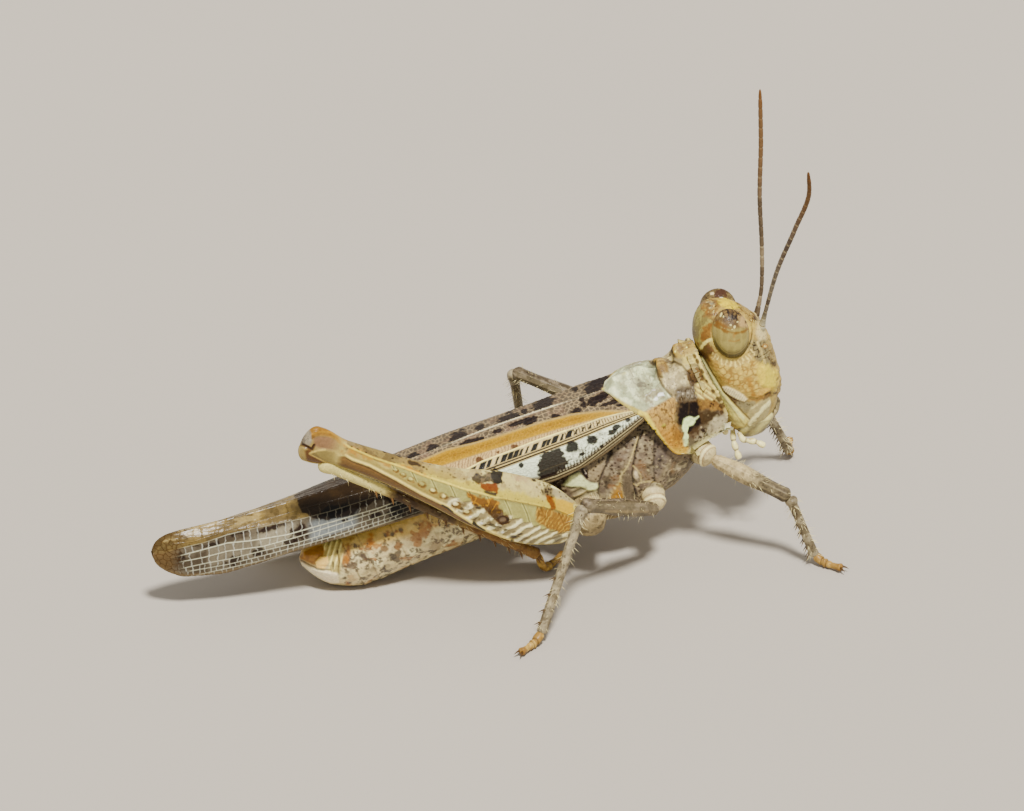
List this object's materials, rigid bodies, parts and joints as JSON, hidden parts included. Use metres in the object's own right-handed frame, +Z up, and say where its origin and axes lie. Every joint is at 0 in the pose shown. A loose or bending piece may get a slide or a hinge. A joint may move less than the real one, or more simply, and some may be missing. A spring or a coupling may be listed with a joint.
{
  "type": "grasshopper",
  "caption": "Life-size still model of a standing band-winged desert grasshopper, wings folded, near hind knee raised, feelers held up.",
  "frame": {"origin": "on the floor under the middle of the whole model's box", "axes": "+X the way the head points, +Y the animal's left, +Z up"},
  "size_m": [0.03, 0.0164, 0.0195],
  "materials": {
    "face": "satin",
    "eye": "gloss",
    "feeler": "satin",
    "saddle": "satin",
    "flank": "satin",
    "belly": "satin",
    "wing": "satin",
    "thigh": "satin",
    "shin": "satin",
    "foot": "satin",
    "palp": "satin"
  },
  "bodies": {
    "root": {"abdomen": "belly", "antenna_L": "feeler", "antenna_R": "feeler", "coxa_fore_L": "shin", "coxa_fore_R": "shin", "coxa_hind_L": "flank", "coxa_hind_R": "flank", "coxa_mid_L": "shin", "coxa_mid_R": "shin", "eye_L": "eye", "eye_R": "eye", "femur_fore_L": "shin", "femur_fore_R": "shin", "femur_hind_L": "thigh", "femur_hind_R": "thigh", "femur_mid_L": "shin", "femur_mid_R": "shin", "head": "face", "labrum": "face", "palp_lower_L": "palp", "palp_lower_R": "palp", "palp_upper_L": "palp", "palp_upper_R": "palp", "pronotum": "saddle", "tarsus_fore_L": "foot", "tarsus_fore_R": "foot", "tarsus_hind_L": "foot", "tarsus_hind_R": "foot", "tarsus_mid_L": "foot", "tarsus_mid_R": "foot", "tegmen_L": "wing", "tegmen_R": "wing", "thorax": "flank", "tibia_fore_L": "shin", "tibia_fore_R": "shin", "tibia_hind_L": "shin", "tibia_hind_R": "shin", "tibia_mid_L": "shin", "tibia_mid_R": "shin"}
  },
  "joints": []
}
